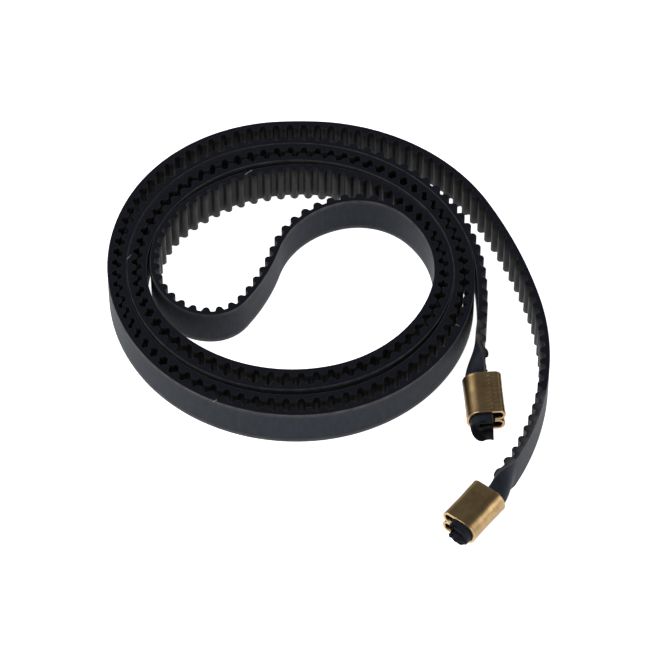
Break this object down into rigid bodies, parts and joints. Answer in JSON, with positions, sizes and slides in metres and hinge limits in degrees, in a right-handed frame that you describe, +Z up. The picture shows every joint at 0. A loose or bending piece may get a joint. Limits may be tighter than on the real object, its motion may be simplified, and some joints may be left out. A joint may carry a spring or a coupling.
{
  "type": "open-ended timing belt",
  "caption": "Open-ended black rubber timing belt with fine round teeth, folded double and coiled on edge, with a crimped brass ferrule on each end.",
  "frame": {"origin": "middle of the coiled belt's footprint, on the surface it stands on", "axes": "+Z up, along the belt's width; +Y away from the ferrules, along the coil's longer extent; +X towards the side the two ends leave"},
  "size_m": [0.0611, 0.073, 0.006],
  "materials": {
    "belt_rubber": "satin ground back, matte cut edges, black with a faint blue cast",
    "tooth_facing": "fine black nylon cloth, slightly satin",
    "glass_cord": "twisted glass-fibre yarn, pale, seen only at the cut ends",
    "brass": "rolled sheet brass, satin with bright sheared edges and shallow crimp marks"
  },
  "bodies": {
    "coil": {"rubber_turn_1": "belt_rubber", "cords_turn_1": "glass_cord", "facing_turn_1": "tooth_facing", "rubber_turn_2": "belt_rubber", "cords_turn_2": "glass_cord", "facing_turn_2": "tooth_facing", "rubber_turn_3": "belt_rubber", "cords_turn_3": "glass_cord", "facing_turn_3": "tooth_facing", "rubber_turn_4": "belt_rubber", "cords_turn_4": "glass_cord", "facing_turn_4": "tooth_facing", "rubber_turn_5": "belt_rubber", "cords_turn_5": "glass_cord", "facing_turn_5": "tooth_facing"},
    "long_1": {"rubber_long_tail_1": "belt_rubber", "cords_long_tail_1": "glass_cord", "facing_long_tail_1": "tooth_facing"},
    "long_2": {"rubber_long_tail_2": "belt_rubber", "cords_long_tail_2": "glass_cord", "facing_long_tail_2": "tooth_facing"},
    "long_3": {"rubber_long_tail_3": "belt_rubber", "cords_long_tail_3": "glass_cord", "facing_long_tail_3": "tooth_facing", "rubber_long_end": "belt_rubber", "cords_long_end": "glass_cord", "ferrule_long": "brass"},
    "short_1": {"rubber_short_tail_1": "belt_rubber", "cords_short_tail_1": "glass_cord", "facing_short_tail_1": "tooth_facing"},
    "short_2": {"rubber_short_tail_2": "belt_rubber", "cords_short_tail_2": "glass_cord", "facing_short_tail_2": "tooth_facing", "rubber_short_end": "belt_rubber", "cords_short_end": "glass_cord", "ferrule_short": "brass"}
  },
  "joints": [
    {"name": "flex_long_1", "type": "hinge", "parent": "coil", "child": "long_1", "pos_m": [0.01822, 0.02699, 0.003], "axis": [0, 0, 1], "range_deg": [0, 10], "stiffness_Nm_per_rad": 0.001},
    {"name": "flex_long_2", "type": "hinge", "parent": "long_1", "child": "long_2", "pos_m": [0.0262, 0.01321, 0.003], "axis": [0, 0, 1], "range_deg": [0, 10], "stiffness_Nm_per_rad": 0.001},
    {"name": "flex_long_3", "type": "hinge", "parent": "long_2", "child": "long_3", "pos_m": [0.03023, -0.00426, 0.003], "axis": [0, 0, 1], "range_deg": [0, 10], "stiffness_Nm_per_rad": 0.001},
    {"name": "flex_short_1", "type": "hinge", "parent": "coil", "child": "short_1", "pos_m": [0.02099, 0.00992, 0.003], "axis": [0, 0, 1], "range_deg": [0, 2], "stiffness_Nm_per_rad": 0.001},
    {"name": "flex_short_2", "type": "hinge", "parent": "short_1", "child": "short_2", "pos_m": [0.02116, 0.00194, 0.003], "axis": [0, 0, 1], "range_deg": [0, 2], "stiffness_Nm_per_rad": 0.001}
  ],
  "couplings": [
    {"joint": "flex_long_2", "follows": "flex_long_1", "ratio": 1},
    {"joint": "flex_long_3", "follows": "flex_long_1", "ratio": 1},
    {"joint": "flex_short_2", "follows": "flex_short_1", "ratio": 1}
  ]
}
